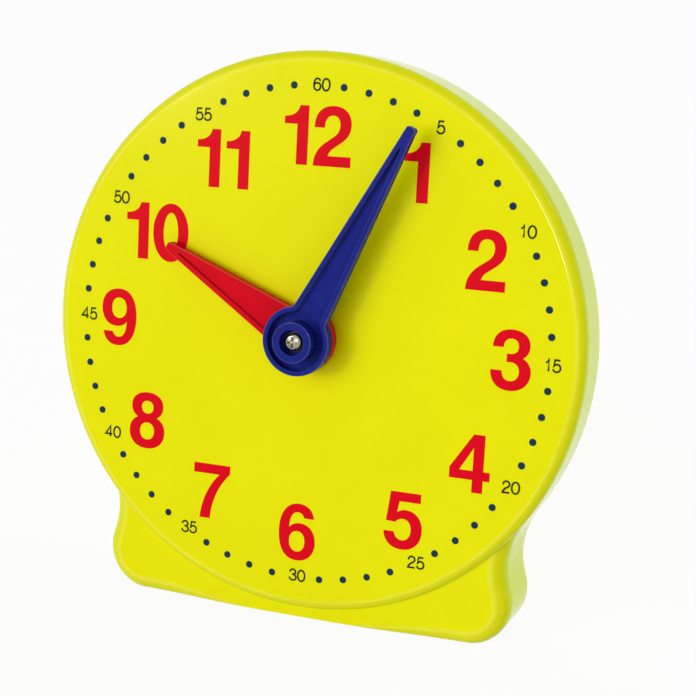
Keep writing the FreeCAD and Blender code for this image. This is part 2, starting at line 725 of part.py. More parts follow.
def friction_spring():
    """A dished washer between the minute pinion and the bridge."""
    inner = ARBOR_JOURNAL_RADIUS + RUNNING_CLEARANCE
    back = MINUTE_PINION_BACK
    return turned([
        (inner, back + SPRING_DISH), (SPRING_RADIUS, back),
        (SPRING_RADIUS, back + SPRING_THICKNESS),
        (inner, back + SPRING_DISH + SPRING_THICKNESS),
    ])


def arbor_clip():
    """The open ring behind the bridge that keeps the arbor from being pulled out."""
    clip = ring(ARBOR_JOURNAL_RADIUS, CLIP_RADIUS, CLIP_FRONT, CLIP_BACK)
    mouth = Part.makeBox(CLIP_MOUTH, CASE_DEPTH, CLIP_RADIUS, Vector(-CLIP_MOUTH / 2, 0, 0))
    return clip.cut(mouth)


def bridge_bush():
    """The bearing in the bridge for the back end of the arbor."""
    inner = ARBOR_JOURNAL_RADIUS + RUNNING_CLEARANCE
    return ring(inner, BRIDGE_BUSH_RADIUS, BRIDGE_FRONT, BRIDGE_BACK)


def dial_bush():
    """The flanged bearing in the dial's centre hole."""
    barrel = cylinder(BUSH_RADIUS, -BUSH_STAND, CASE_WALL)
    flange = cylinder(BUSH_FLANGE_RADIUS, CASE_WALL, BUSH_BACK)
    bush = fuse(barrel, flange)
    return bush.cut(cylinder(BUSH_BORE_RADIUS, -BUSH_STAND - 1.0, HOUR_WHEEL_FRONT))


def transfer_pin():
    return cylinder(PIN_RADIUS, PIN_SEAT_DEPTH, BRIDGE_BACK, 0.0, -shaft_distance())


# Hands

def blade(root, tip, length, inset, short, low, high):
    """A tapering bar from the hub's centre to near the tip, between two heights."""
    taper = (root - tip) / length
    root_half = root - inset
    end = min(length - short, (root_half - POINT_HALF_WIDTH) / taper)
    end_half = root_half - taper * end
    corners = [(-root_half, 0), (-end_half, end), (end_half, end), (root_half, 0)]
    points = [Vector(x, -high, z) for x, z in corners]
    face = Part.Face(Part.makePolygon(points + points[:1]))
    return face.extrude(Vector(0, high - low, 0))


def upright_edges(shape, low, high, test):
    """Edges that stand along Y between two heights and pass a test of their place."""
    def inside(p):
        return low - 1e-6 <= -p.y <= high + 1e-6 and test(p)
    return [e for e in edges_where(shape, inside)
            if abs(e.valueAt(e.FirstParameter).y - e.valueAt(e.LastParameter).y) > 0.05
            and abs(e.valueAt(e.FirstParameter).z - e.valueAt(e.LastParameter).z) < 1e-6]


def hand_outline_solid(hub_radius, root, tip, length, inset, short, low, high):
    """Hub and blade together, with the inner corners and the tip rounded."""
    disc = cylinder(hub_radius - inset, -high, -low)
    shape = fuse(disc, blade(root, tip, length, inset, short, low, high))
    joins = upright_edges(shape, low, high, lambda p: 0.5 * hub_radius < p.z < length / 2)
    shape = shape.makeFillet(HAND_JOIN_RADIUS, joins)
    if inset == 0.0:
        ends = upright_edges(shape, low, high, lambda p: p.z > length - 1.0)
        shape = shape.makeFillet(HAND_TIP_RADIUS, ends)
    return shape


def hour_hand():
    size = HOUR_HUB_RADIUS, HOUR_ROOT_HALF_WIDTH, HOUR_TIP_HALF_WIDTH, HOUR_HAND_LENGTH
    body = hand_outline_solid(*size, 0.0, 0.0, HOUR_UNDERSIDE, HOUR_TOP)
    top = edges_where(body, lambda p: abs(p.y + HOUR_TOP) < 1e-6)
    body = body.makeFillet(HAND_EDGE_RADIUS, top)
    floor = HOUR_TOP - HOUR_CHANNEL_DEPTH
    channel = hand_outline_solid(*size, HOUR_RIM_WIDTH, HOUR_CHANNEL_END, floor, HOUR_TOP + 1.0)
    collar = cylinder(PIPE_RADIUS + PIPE_WALL, -HOUR_TOP - 2.0, 0.0)
    body = body.cut(channel.cut(collar))
    bore = cylinder(PIPE_RADIUS, -HOUR_TOP - 1.0, 0.0)
    bore = with_flats(bore, PIPE_RADIUS, -HOUR_TOP - 1.0, 0.0, 0.0)
    return clock_turn(body.cut(bore), HOUR_HAND_DEG)


def minute_hand():
    size = MINUTE_HUB_RADIUS, MINUTE_ROOT_HALF_WIDTH, MINUTE_TIP_HALF_WIDTH, MINUTE_HAND_LENGTH
    arm_low = MINUTE_RIM_TOP - MINUTE_ARM_THICKNESS
    body = hand_outline_solid(*size, 0.0, 0.0, arm_low, MINUTE_RIM_TOP)
    top = edges_where(body, lambda p: abs(p.y + MINUTE_RIM_TOP) < 1e-6)
    body = body.makeFillet(HAND_EDGE_RADIUS, top)
    skirt = cylinder(MINUTE_HUB_RADIUS, -arm_low, -MINUTE_UNDERSIDE)
    body = fuse(body, skirt)
    floor = MINUTE_RIM_TOP - MINUTE_CHANNEL_DEPTH
    channel = hand_outline_solid(
        *size, MINUTE_RIM_WIDTH, MINUTE_CHANNEL_END, floor, MINUTE_RIM_TOP + 1.0,
    )
    body = body.cut(channel)
    dish = cylinder(MINUTE_HUB_RADIUS - MINUTE_RIM_WIDTH, -MINUTE_RIM_TOP, -MINUTE_FLOOR)
    body = body.cut(dish)
    boss = cylinder(BOSS_RADIUS, -MINUTE_BOSS_TOP, -MINUTE_FLOOR)
    rim = edges_where(boss, lambda p: abs(p.y + MINUTE_BOSS_TOP) < 1e-6)
    body = fuse(body, boss.makeFillet(HAND_EDGE_RADIUS, rim))
    body = body.cut(cylinder(BOSS_BORE_RADIUS, -MINUTE_BOSS_TOP - 1.0, -SCREW_SEAT_HEIGHT))
    body = body.cut(cylinder(HAND_SCREW_RADIUS, -MINUTE_BOSS_TOP, 0.0))
    socket = cylinder(ARBOR_RADIUS, -ARBOR_TOP, 0.0)
    socket = with_flats(socket, ARBOR_RADIUS, -ARBOR_TOP, 0.0, 0.0)
    return clock_turn(body.cut(socket), MINUTE_HAND_DEG)


PIECES = {
    "front_case": front_case,
    "rear_cover": rear_cover,
    "cover_screws": cover_screws,
    "gear_bridge": gear_bridge,
    "bridge_screws": bridge_screws,
    "dial_bush": dial_bush,
    "bridge_bush": bridge_bush,
    "transfer_pin": transfer_pin,
    "transfer_washers": transfer_washers,
    "transfer_wheel": transfer_wheel,
    "transfer_pinion": transfer_pinion,
    "hour_washer": hour_washer,
    "hour_wheel": hour_wheel,
    "hour_pipe": hour_pipe,
    "hour_hand": hour_hand,
    "minute_arbor": minute_arbor,
    "minute_pinion": minute_pinion,
    "friction_spring": friction_spring,
    "arbor_clip": arbor_clip,
    "minute_hand": minute_hand,
    "hand_washer": hand_washer,
    "hand_screw": hand_screw,
}


def sole_middle():
    """How far behind the dial's centre the middle of the sole lies, along the table."""
    lean = math.radians(LEAN_DEG)
    middle_depth = (FOOT_STEP + FOOT_DEPTH) / 2
    return (middle_depth - CENTRE_HEIGHT * math.sin(lean)) / math.cos(lean)


def stand_on_table(shape):
    """Leans the clock back and puts the middle of its sole at the origin."""
    placed = shape.copy()
    placed.rotate(DIAL_CENTRE, Vector(1, 0, 0), -LEAN_DEG)
    placed.translate(Vector(0, -sole_middle(), CENTRE_HEIGHT))
    return placed


def main():
    os.makedirs("parts", exist_ok=True)
    for name, make in PIECES.items():
        shape = stand_on_table(make())
        shape.exportStep(os.path.join("parts", name + ".step"))
        box = shape.BoundBox
        print(name, "solids", len(shape.Solids), "valid", shape.isValid(),
              "volume %.1f" % shape.Volume,
              "size %.1f x %.1f x %.1f" % (box.XLength, box.YLength, box.ZLength))


main()
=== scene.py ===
# %% [markdown]
# A geared teaching clock in Blender.
# The clock is a round yellow moulding on a wide foot, with a red hour hand and a blue minute hand.
# Its shapes come from a CAD model, one mesh for each real piece, and only get finishes here.
# What CAD doesn't hold is made here: the printed dial, the lights, the floor and the camera.

# %% Load the clock
import json
import math
import bpy
from mathutils import Matrix, Vector


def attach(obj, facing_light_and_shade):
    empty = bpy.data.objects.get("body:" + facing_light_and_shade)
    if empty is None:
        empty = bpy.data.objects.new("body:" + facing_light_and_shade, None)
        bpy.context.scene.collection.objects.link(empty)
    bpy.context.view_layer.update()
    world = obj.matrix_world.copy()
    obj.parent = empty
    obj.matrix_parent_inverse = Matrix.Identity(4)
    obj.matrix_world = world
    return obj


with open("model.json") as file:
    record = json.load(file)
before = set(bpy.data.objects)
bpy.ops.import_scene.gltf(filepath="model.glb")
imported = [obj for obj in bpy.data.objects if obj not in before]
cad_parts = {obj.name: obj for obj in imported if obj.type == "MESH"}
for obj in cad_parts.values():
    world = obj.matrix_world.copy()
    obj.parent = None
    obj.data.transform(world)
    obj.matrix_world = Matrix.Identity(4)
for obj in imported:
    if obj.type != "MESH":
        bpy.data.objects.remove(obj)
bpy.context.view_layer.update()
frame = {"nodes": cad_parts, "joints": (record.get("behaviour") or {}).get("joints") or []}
nodes = frame["nodes"]

# %% [markdown]
# The dial leans back, so nothing on it lines up with the world's axes.
# The shaft of the hands stands square on the dial, and the joint that turns the minute hand says
# where that shaft is. Its anchor is the centre of the dial and its axis points into the case.
# One matrix made from these two turns millimetres on the dial into metres in the world.

# %% The dial as a drawing board
hand_joint = next(joint for joint in frame["joints"] if joint["name"] == "minute_turn")
right = Vector((1, 0, 0))
into_case = Vector(hand_joint["axis"])
up_dial = right.cross(into_case)
DIAL = Matrix((right, into_case, up_dial)).transposed().to_4x4()
DIAL.translation = hand_joint["pos_m"]
DIAL_MM = DIAL @ Matrix.Scale(0.001, 4)
lean = math.atan2(up_dial.y, up_dial.z)
print("the dial leans back by", round(math.degrees(lean), 1), "degrees")

# %% [markdown]
# Colours are written as sRGB hex values, as a paint program shows them.
# Blender's shaders work in linear light, so each value goes through the sRGB curve once, here.

# %% Colour helper
def linear(hex_value):
    """An sRGB hex colour as a linear colour with full alpha."""
    parts = [int(hex_value[i : i + 2], 16) / 255 for i in (1, 3, 5)]
    return [c / 12.92 if c <= 0.04045 else ((c + 0.055) / 1.055) ** 2.4 for c in parts] + [1.0]


print("mid grey in linear light:", round(linear("#808080")[0], 3))

# %% [markdown]
# A material is a small network of nodes. One helper adds a node, sets its options, and fills its
# sockets either with values or with links from other nodes.

# %% Node helpers
def add(tree, kind, inputs=None, **options):
    """A new node. Keys of inputs are socket names or numbers; a socket as a value is linked."""
    node = tree.nodes.new("ShaderNode" + kind)
    for name, value in options.items():
        setattr(node, name, value)
    for key, value in (inputs or {}).items():
        if isinstance(value, bpy.types.NodeSocket):
            tree.links.new(value, node.inputs[key])
        else:
            node.inputs[key].default_value = value
    return node


def maths(tree, operation, *values, **options):
    """The result of a maths node on up to three values."""
    node = add(tree, "Math", dict(enumerate(values)), operation=operation, **options)
    return node.outputs["Value"]


def between(tree, factor, low, high):
    """A value that runs from low to high as the factor runs from 0 to 1."""
    span = {"Value": factor, "To Min": low, "To Max": high}
    return add(tree, "MapRange", span).outputs["Result"]


def blend(tree, factor, first, second):
    """A colour that runs from one hex colour to another."""
    ends = {"Factor": factor, "A": linear(first), "B": linear(second)}
    return add(tree, "Mix", ends, data_type="RGBA").outputs["Result"]


def colour_ramp(tree, factor, stops):
    """A colour ramp through (place, colour) stops."""
    ramp = add(tree, "ValToRGB", {"Fac": factor})
    elements = ramp.color_ramp.elements
    elements[0].position, elements[0].color = stops[0]
    elements[1].position, elements[1].color = stops[-1]
    for place, colour in stops[1:-1]:
        elements.new(place).color = colour
    return ramp.outputs["Color"]


def level_ramp(tree, factor, stops):
    """A ramp through (place, level) stops."""
    return colour_ramp(tree, factor, [(place, (v, v, v, 1.0)) for place, v in stops])


print("node helpers ready")

# %% [markdown]
# Every material starts with one surface shader. Its sockets are set with plain numbers where the
# surface is the same all over, and linked to a pattern where it isn't.

# %% Material helpers
def new_material(name, colour, roughness, metallic=0.0):
    """A material with one surface shader, and its node tree."""
    material = bpy.data.materials.new(name)
    material.use_nodes = True
    shader = material.node_tree.nodes["Principled BSDF"]
    shader.inputs["Base Color"].default_value = linear(colour)
    shader.inputs["Roughness"].default_value = roughness
    shader.inputs["Metallic"].default_value = metallic
    return material, material.node_tree, shader


def connect(tree, shader, **sockets):
    """Links each given output to the shader's socket of that name, with _ for a space."""
    for name, output in sockets.items():
        tree.links.new(output, shader.inputs[name.replace("_", " ")])


print("material helpers ready")

# %% [markdown]
# Surface patterns have real sizes: the waves of moulded plastic are a few millimetres long and
# tool marks on steel a fraction of one. A mapping node turns each piece's own coordinates into
# millimetres on the leaning dial, so that a texture scale of 2 means two waves in each millimetre.

# %% Patterns in millimetres
def millimetres(tree):
    """A socket with the place on the surface in millimetres, in the leaning dial's directions."""
    mapping = {
        "Vector": add(tree, "TexCoord").outputs["Object"],
        "Location": DIAL.translation,
        "Rotation": (-lean, 0, 0),
        "Scale": (0.001,) * 3,
    }
    return add(tree, "Mapping", mapping, vector_type="TEXTURE").outputs["Vector"]


def noise(tree, place, scale, detail):
    """Cloudy noise, scale patches to a millimetre."""
    return add(tree, "TexNoise", {"Vector": place, "Scale": scale, "Detail": detail}).outputs["Fac"]


def relief(tree, height, strength, depth, normal=None):
    """Shading bent by a pattern of heights, depth in metres, on top of another bend if given."""
    bend = {"Height": height, "Strength": strength, "Distance": depth}
    if normal is not None:
        bend["Normal"] = normal
    return add(tree, "Bump", bend).outputs["Normal"]


def squareness(tree, normal):
    """How square on to the dial a surface is: 1 for the dial itself, 0 for a side wall."""
    pair = {0: normal, 1: into_case}
    along = add(tree, "VectorMath", pair, operation="DOT_PRODUCT").outputs["Value"]
    return maths(tree, "ABSOLUTE", along)


print("one metre on the clock is 1000 texture units")

# %% [markdown]
# The case is high impact polystyrene, injection moulded in one lemon yellow shot.
# The polished mould gives a high gloss with a slight long wave. A colour ramp over the direction
# that the surface faces paints light and shade into the yellow: the dial, seen square on, is a deep
# yellow, its rounded edge is a little deeper as painted shade, and a side wall is paler and greener
# as painted light, standing for light that comes through the plastic. It needs no trick of the
# camera.
# The gloss is set by the way the surface faces and is strongest where the dial's edge starts to
# curve, so that the front lamps draw a thin highlight line there.
# The back plate comes from a spark eroded mould and is finely pebbled and half matt.

# %% Moulded polystyrene for the case
# Painted light and shade by facing: deeper yellow on the rounded edge, paler and greener on the
# side walls.
PAINTED_FACING_YELLOWS = (
    (0.08, "#d6e752"), (0.45, "#dae228"), (0.62, "#dadc08"),
    (0.93, "#dedc00"), (0.985, "#e7e400"), (1.0, "#e7e400"),
)
# Gloss by facing: strongest where the edge starts to curve, for the lamps' thin highlight line.
EDGE_GLOSS = ((0.0, 0.1), (0.7, 0.05), (0.92, 0.14), (0.975, 0.5), (0.9975, 0.5), (0.9998, 0.08))


def moulded_polystyrene(name, least_rough, most_rough, pebble):
    """The case's yellow; pebble is how far the fine grain stands out of the long wave."""
    material, tree, shader = new_material(name, "#e7e400", least_rough)
    shader.inputs["IOR"].default_value = 1.5
    shader.inputs["Specular IOR Level"].default_value = 0.1
    place = millimetres(tree)
    square_on = squareness(tree, add(tree, "TexCoord").outputs["Normal"])
    # The ramp paints shade on the rounded edge and light on the side walls, by the way each surface
    # faces.
    facing_light_and_shade = colour_ramp(tree, square_on, [(at, linear(colour)) for at, colour in PAINTED_FACING_YELLOWS])
    shade = between(tree, noise(tree, place, 0.05, 2.0), 0.96, 1.04)
    colour = add(tree, "VectorMath", {0: facing_light_and_shade, "Scale": shade}, operation="SCALE").outputs["Vector"]
    level = level_ramp(tree, square_on, EDGE_GLOSS)
    grain = noise(tree, place, 3.0, 3.0)
    gloss = between(tree, grain, least_rough, most_rough)
    height = maths(tree, "MULTIPLY_ADD", grain, pebble, noise(tree, place, 0.35, 1.0))
    bump = relief(tree, height, 0.25, 0.00003)
    connect(
        tree, shader, Base_Color=colour, Roughness=gloss, Specular_IOR_Level=level, Normal=bump
    )
    return material


yellow = moulded_polystyrene("moulded_yellow_polystyrene", 0.08, 0.14, 0.12)
pebbled_yellow = moulded_polystyrene("pebbled_yellow_polystyrene", 0.38, 0.52, 1.6)
print("made", yellow.name, "and", pebbled_yellow.name)

# %% [markdown]
# The hands are ABS, moulded in red and in blue. ABS has the same gloss as the case but hides light
# better, so its colour is the same from every side. A faint grain, a few tenths of a millimetre
# wide, and a longer wave break up the highlights.
# The mould's edges are never quite sharp: a bevel node bends the shading over the last tenth or
# quarter of a millimetre, and the gloss is strongest there, which gives each rim its thin line of
# light.

# %% Moulded ABS for the hands
SHARP_EDGE = 0.00008
SOFT_EDGE = 0.00025
RIM_GLOSS = ((0.0, 0.03), (0.15, 0.4), (0.4, 0.9), (0.8, 0.8), (0.97, 0.08), (1.0, 0.05))


def moulded_abs(name, deep, bright, roughness, edge_rounding):
    """A hand's plastic; edge_rounding is in metres."""
    material, tree, shader = new_material(name, bright, roughness)
    shader.inputs["IOR"].default_value = 1.53
    shader.inputs["Specular IOR Level"].default_value = 0.05
    place = millimetres(tree)
    colour = blend(tree, noise(tree, place, 0.25, 3.0), deep, bright)
    grain = noise(tree, place, 4.0, 4.0)
    gloss = between(tree, grain, roughness - 0.04, roughness + 0.05)
    height = maths(tree, "MULTIPLY_ADD", grain, 0.15, noise(tree, place, 0.6, 1.0))
    soft_edges = add(tree, "Bevel", {"Radius": edge_rounding}, samples=6).outputs["Normal"]
    level = level_ramp(tree, squareness(tree, soft_edges), RIM_GLOSS)
    bump = relief(tree, height, 0.3, 0.00004, soft_edges)
    connect(
        tree, shader, Base_Color=colour, Roughness=gloss, Specular_IOR_Level=level, Normal=bump
    )
    return material


red = moulded_abs("moulded_red_abs", "#cc0016", "#d60019", 0.2, SHARP_EDGE)
blue = moulded_abs("moulded_blue_abs", "#161c72", "#1e2a8c", 0.16, SOFT_EDGE)
print("made", red.name, "and", blue.name)

# %% [markdown]
# The wheels and the bridge inside are acetal, a waxy white plastic that runs without oil.
# It is never quite glossy, because the mould for a running part is left unpolished.

# %% Moulded acetal for the gears
def moulded_acetal():
    material, tree, shader = new_material("moulded_white_acetal", "#ecebe4", 0.42)
    shader.inputs["IOR"].default_value = 1.48
    place = millimetres(tree)
    colour = blend(tree, noise(tree, place, 0.3, 3.0), "#e4e3da", "#f1f0ea")
    grain = noise(tree, place, 6.0, 4.0)
    gloss = between(tree, grain, 0.36, 0.5)
    bump = relief(tree, grain, 0.2, 0.00003)
    connect(tree, shader, Base_Color=colour, Roughness=gloss, Normal=bump)
    return material


white = moulded_acetal()
print("made", white.name)

# %% [markdown]
# The bearings and the hour tube are turned brass and the shafts turned steel. A lathe tool leaves
# fine rings round the axis of the hands, so their relief is a wave that runs outwards from it.
# A metal's colour is in its reflection: metallic is 1, and the base colour is the metal's tint.

# %% Turned and plated metal
def turned_metal(name, tint, worn_tint, roughness, rings_per_mm):
    material, tree, shader = new_material(name, tint, roughness, metallic=1.0)
    place = millimetres(tree)
    cloud = noise(tree, place, 1.2, 4.0)
    colour = blend(tree, cloud, worn_tint, tint)
    wave = {"Vector": place, "Scale": rings_per_mm, "Distortion": 0.6, "Detail": 1.0}
    rings = add(tree, "TexWave", wave, wave_type="RINGS", rings_direction="Y").outputs["Fac"]
    gloss = between(tree, cloud, roughness - 0.08, roughness + 0.1)
    bump = relief(tree, rings, 0.2, 0.00002)
    connect(tree, shader, Base_Color=colour, Roughness=gloss, Normal=bump)
    return material


nickel = turned_metal("nickel_plated_steel", "#c4bcab", "#6b6353", 0.2, 1.2)
# The hand washer's steel is made near black as painted shade, for the deep shade in the ring round
# the screw head.
washer_shade_steel = turned_metal("washer_shade_dark_steel", "#3c3d40", "#2a2a2c", 0.35, 1.0)
steel = turned_metal("turned_steel", "#b9bbbd", "#94979a", 0.3, 2.5)
spring_steel = turned_metal("tempered_spring_steel", "#80838a", "#5d6068", 0.35, 1.0)
brass = turned_metal("turned_brass", "#cfae62", "#a98840", 0.28, 2.5)
print("made", [m.name for m in (nickel, washer_shade_steel, steel, spring_steel, brass)])

# %% [markdown]
# The thrust washers are vulcanised fibre: paper fused into a hard red-brown sheet, dull and
# slightly mottled, with fibres a few tenths of a millimetre wide.

# %% Vulcanised fibre for the washers
def vulcanised_fibre():
    material, tree, shader = new_material("vulcanised_fibre", "#7a4a3a", 0.7)
    fibres = noise(tree, millimetres(tree), 3.0, 5.0)
    colour = blend(tree, fibres, "#6a3c2e", "#8d5a47")
    connect(tree, shader, Base_Color=colour, Normal=relief(tree, fibres, 0.4, 0.00003))
    return material


fibre = vulcanised_fibre()
print("made", fibre.name)

# %% [markdown]
# Each CAD piece keeps its mesh and gets the finish of what it is made of.

# %% Finishes for the pieces
FINISHES = {
    yellow: ("front_case",),
    pebbled_yellow: ("rear_cover",),
    red: ("hour_hand",),
    blue: ("minute_hand",),
    white: ("gear_bridge", "transfer_wheel", "transfer_pinion", "hour_wheel", "minute_pinion"),
    nickel: ("hand_screw", "cover_screws", "bridge_screws"),
    # The washer's near black steel is painted shade round the screw head.
    washer_shade_steel: ("hand_washer",),
    steel: ("minute_arbor", "transfer_pin"),
    spring_steel: ("friction_spring", "arbor_clip"),
    brass: ("dial_bush", "bridge_bush", "hour_pipe"),
    fibre: ("hour_washer", "transfer_washers"),
}
for finish, names in FINISHES.items():
    for name in names:
        piece = nodes[name]
        if not piece.material_slots:
            piece.data.materials.append(None)
        for material_slot in piece.material_slots:
            material_slot.material = finish
print("finished", sum(len(names) for names in FINISHES.values()), "of", len(nodes), "pieces")

# %% [markdown]
# The dial is printed with a screen, a film of ink about a fiftieth of a millimetre thick.
# Ink laid through a screen is flat and satin, and a little thinner in places, where the plastic
# below lightens it. The inks are opaque: red for the hours, navy for the dots and green-black for
# the minutes.

# %% Screen ink
def screen_ink(name, full, thin):
    material, tree, shader = new_material(name, full, 0.35)
    shader.inputs["IOR"].default_value = 1.48
    shader.inputs["Specular IOR Level"].default_value = 0.05
    place = millimetres(tree)
    colour = blend(tree, noise(tree, place, 1.5, 5.0), full, thin)
    mesh_dots = noise(tree, place, 8.0, 1.0)
    gloss = between(tree, mesh_dots, 0.28, 0.42)
    bump = relief(tree, mesh_dots, 0.15, 0.00001)
    connect(tree, shader, Base_Color=colour, Roughness=gloss, Normal=bump)
    return material


hour_ink = screen_ink("red_screen_ink", "#d60019", "#de041d")
dot_ink = screen_ink("navy_screen_ink", "#0f2c42", "#183a52")
minute_ink = screen_ink("green_black_screen_ink", "#142214", "#20301c")
print("made", hour_ink.name, dot_ink.name, minute_ink.name)

# %% [markdown]
# The hour numerals are a heavy upright sans serif, 12.7 mm high, as on most school clocks.
# A font file would bring someone else's drawing with it, so each numeral is drawn here as
# outlines in millimetres: M starts, L draws a line, C a curve with two handles, and H and V a
# quarter of an oval that sets off level or upright. An inner outline, as in a nought, becomes a
# hole.

# %% Numeral outlines
NUMERALS = {
    "0": [
        "M 4.38 12.95 H 8.75 6.4 V 4.38 -0.15 H 0 6.4 V 4.38 12.95",
        "M 4.4 10.9 H 2.6 6.4 V 4.4 2.0 H 6.2 6.4 V 4.4 10.9",
    ],
    "1": [
        "M 0 8.65 L 0 10.25 C 1.9 10.3 3.2 11.1 3.45 12.7 L 5.55 12.7 L 5.55 0 L 2.95 0 "
        "L 2.95 8.65 L 0 8.65"
    ],
    "2": [
        "M 0.05 8.2 C 0.0 11.2 1.6 12.9 4.35 12.9 C 6.9 12.9 8.45 11.3 8.45 9.0 "
        "C 8.45 7.2 7.6 6.1 6.2 5.1 L 4.4 3.8 C 3.9 3.4 3.5 2.9 3.3 2.25 L 8.6 2.25 L 8.6 0 L 0 0 "
        "C 0 2.3 1.0 3.9 2.9 5.2 L 4.6 6.4 C 5.5 7.1 5.9 7.8 5.9 8.9 "
        "C 5.9 10.1 5.3 10.85 4.25 10.85 C 3.1 10.85 2.4 10.0 2.4 8.2 L 0.05 8.2"
    ],
    "3": [
        "M 0.25 9.0 C 0.25 11.4 1.8 12.9 4.25 12.9 C 6.7 12.9 8.3 11.6 8.3 9.6 "
        "C 8.3 8.4 7.8 7.5 6.9 6.95 C 8.1 6.4 8.75 5.3 8.75 3.95 C 8.75 1.5 6.9 -0.15 4.3 -0.15 "
        "C 1.7 -0.15 0.05 1.4 0 4.05 L 2.5 4.05 C 2.5 2.75 3.15 1.95 4.3 1.95 "
        "C 5.45 1.95 6.2 2.75 6.2 4.0 C 6.2 5.35 5.3 6.05 3.95 5.95 L 3.4 5.9 L 3.4 7.7 L 3.9 7.7 "
        "C 5.1 7.65 5.85 8.2 5.85 9.3 C 5.85 10.3 5.3 10.95 4.3 10.95 "
        "C 3.2 10.95 2.6 10.2 2.6 9.0 L 0.25 9.0"
    ],
    "4": [
        "M 5.0 12.7 L 7.55 12.7 L 7.55 4.75 L 9.0 4.75 L 9.0 2.75 L 7.55 2.75 L 7.55 0 L 5.15 0 "
        "L 5.15 2.75 L 0 2.75 L 0 5.1 L 5.0 12.7",
        "M 5.15 4.75 L 5.15 9.7 L 2.2 4.75 L 5.15 4.75",
    ],
    "5": [
        "M 1.25 12.7 L 8.15 12.7 L 8.15 10.6 L 3.35 10.6 L 2.9 8.1 C 3.5 8.6 4.2 8.85 5.05 8.8 "
        "C 7.3 8.7 8.75 7.0 8.75 4.5 C 8.75 1.7 7.0 -0.15 4.3 -0.15 C 1.8 -0.15 0.15 1.3 0 3.7 "
        "L 2.4 3.7 C 2.55 2.65 3.25 1.95 4.3 1.95 C 5.45 1.95 6.2 2.95 6.2 4.4 "
        "C 6.2 5.8 5.5 6.75 4.35 6.75 C 3.55 6.75 3.0 6.45 2.6 5.85 L 0.45 6.0 L 1.25 12.7"
    ],
    "6": [
        "M 8.3 9.75 C 8.0 11.8 6.6 12.95 4.6 12.95 C 1.7 12.95 0 10.3 0 6.3 "
        "C 0 2.2 1.6 -0.15 4.45 -0.15 C 7.05 -0.15 8.75 1.6 8.75 4.25 C 8.75 6.8 7.3 8.5 5.0 8.5 "
        "C 3.9 8.5 3.0 8.05 2.45 7.3 C 2.5 9.7 3.2 10.95 4.5 10.95 "
        "C 5.2 10.95 5.75 10.5 5.95 9.75 L 8.3 9.75",
        "M 4.4 6.6 C 3.3 6.6 2.55 5.7 2.55 4.3 C 2.55 2.9 3.3 1.9 4.45 1.9 "
        "C 5.55 1.9 6.25 2.85 6.25 4.3 C 6.25 5.7 5.55 6.6 4.4 6.6",
    ],
    "7": [
        "M 0 12.65 L 8.95 12.65 L 8.95 10.8 C 6.2 7.9 4.6 4.3 4.3 0 L 1.75 0 "
        "C 2.1 4.0 3.7 7.7 6.3 10.4 L 0 10.4 L 0 12.65"
    ],
    "8": [
        "M 4.43 12.95 C 6.85 12.95 8.4 11.7 8.4 9.75 C 8.4 8.5 7.8 7.6 6.8 7.1 "
        "C 8.1 6.6 8.85 5.45 8.85 3.9 C 8.85 1.4 7.1 -0.15 4.43 -0.15 C 1.75 -0.15 0 1.4 0 3.9 "
        "C 0 5.45 0.75 6.6 2.05 7.1 C 1.05 7.6 0.45 8.5 0.45 9.75 "
        "C 0.45 11.7 2.0 12.95 4.43 12.95",
        "M 4.43 10.95 C 3.5 10.95 2.95 10.4 2.95 9.5 C 2.95 8.6 3.5 8.0 4.43 8.0 "
        "C 5.35 8.0 5.9 8.6 5.9 9.5 C 5.9 10.4 5.35 10.95 4.43 10.95",
        "M 4.43 5.9 C 3.35 5.9 2.65 5.15 2.65 3.95 C 2.65 2.7 3.35 1.95 4.43 1.95 "
        "C 5.5 1.95 6.2 2.7 6.2 3.95 C 6.2 5.15 5.5 5.9 4.43 5.9",
    ],
}
print("numerals drawn:", " ".join(NUMERALS))

# %% [markdown]
# Blender's Bezier curves hold the same thing as these outlines: points with a handle on each side.
# Reading the letters one by one gives the points, and a quarter oval's handles reach 0.56 of the
# way to its corner, which is as near to an ellipse as one Bezier piece comes.

# %% Read an outline
CORNER_REACH = 0.56
STEP_NUMBERS = {"M": 2, "L": 2, "C": 6, "H": 2, "V": 2}


def read_steps(text):
    """Each letter of an outline with the numbers that follow it."""
    words = text.split()
    at = 0
    while at < len(words):
        after = at + 1 + STEP_NUMBERS[words[at]]
        yield words[at], [float(word) for word in words[at + 1 : after]]
        at = after


def handles(step, start, end, numbers):
    """The two handles between start and end."""
    if step == "C":
        return Vector(numbers[0:2]), Vector(numbers[2:4])
    if step == "L":
        return start.lerp(end, 1 / 3), start.lerp(end, 2 / 3)
    corner = Vector((end.x, start.y)) if step == "H" else Vector((start.x, end.y))
    return start.lerp(corner, CORNER_REACH), end.lerp(corner, CORNER_REACH)


def read_outline(text):
    """A closed outline as points, each with the handle before it and the handle after it."""
    points = []
    for step, numbers in read_steps(text):
        end = Vector(numbers[-2:])
        if points:
            leave, arrive = handles(step, points[-1][1], end, numbers)
            points[-1][2] = leave
            points.append([arrive, end, end])
        else:
            points.append([end, end, end])
    points[0][0] = points.pop()[0]
    return points


print("a nought has", len(read_outline(NUMERALS["0"][0])), "points outside")

# %% [markdown]
# A filled 2D curve makes the flat ink with its holes. It is drawn in millimetres, given the ink's
# thickness, and then turned into a mesh on the dial's face, a few thousandths of a millimetre
# clear of the plastic so that the two never fight for the same place.

# %% Print on the dial
INK_THICKNESS = 0.02
INK_LIFT = 0.006
INK_MIDDLE = INK_LIFT + INK_THICKNESS / 2
CURVE_STEPS = 10
LAID_ON_DIAL = Matrix(((1, 0, 0, 0), (0, 0, -1, -INK_MIDDLE), (0, 1, 0, 0), (0, 0, 0, 1)))
PRINT_MM = DIAL_MM @ LAID_ON_DIAL


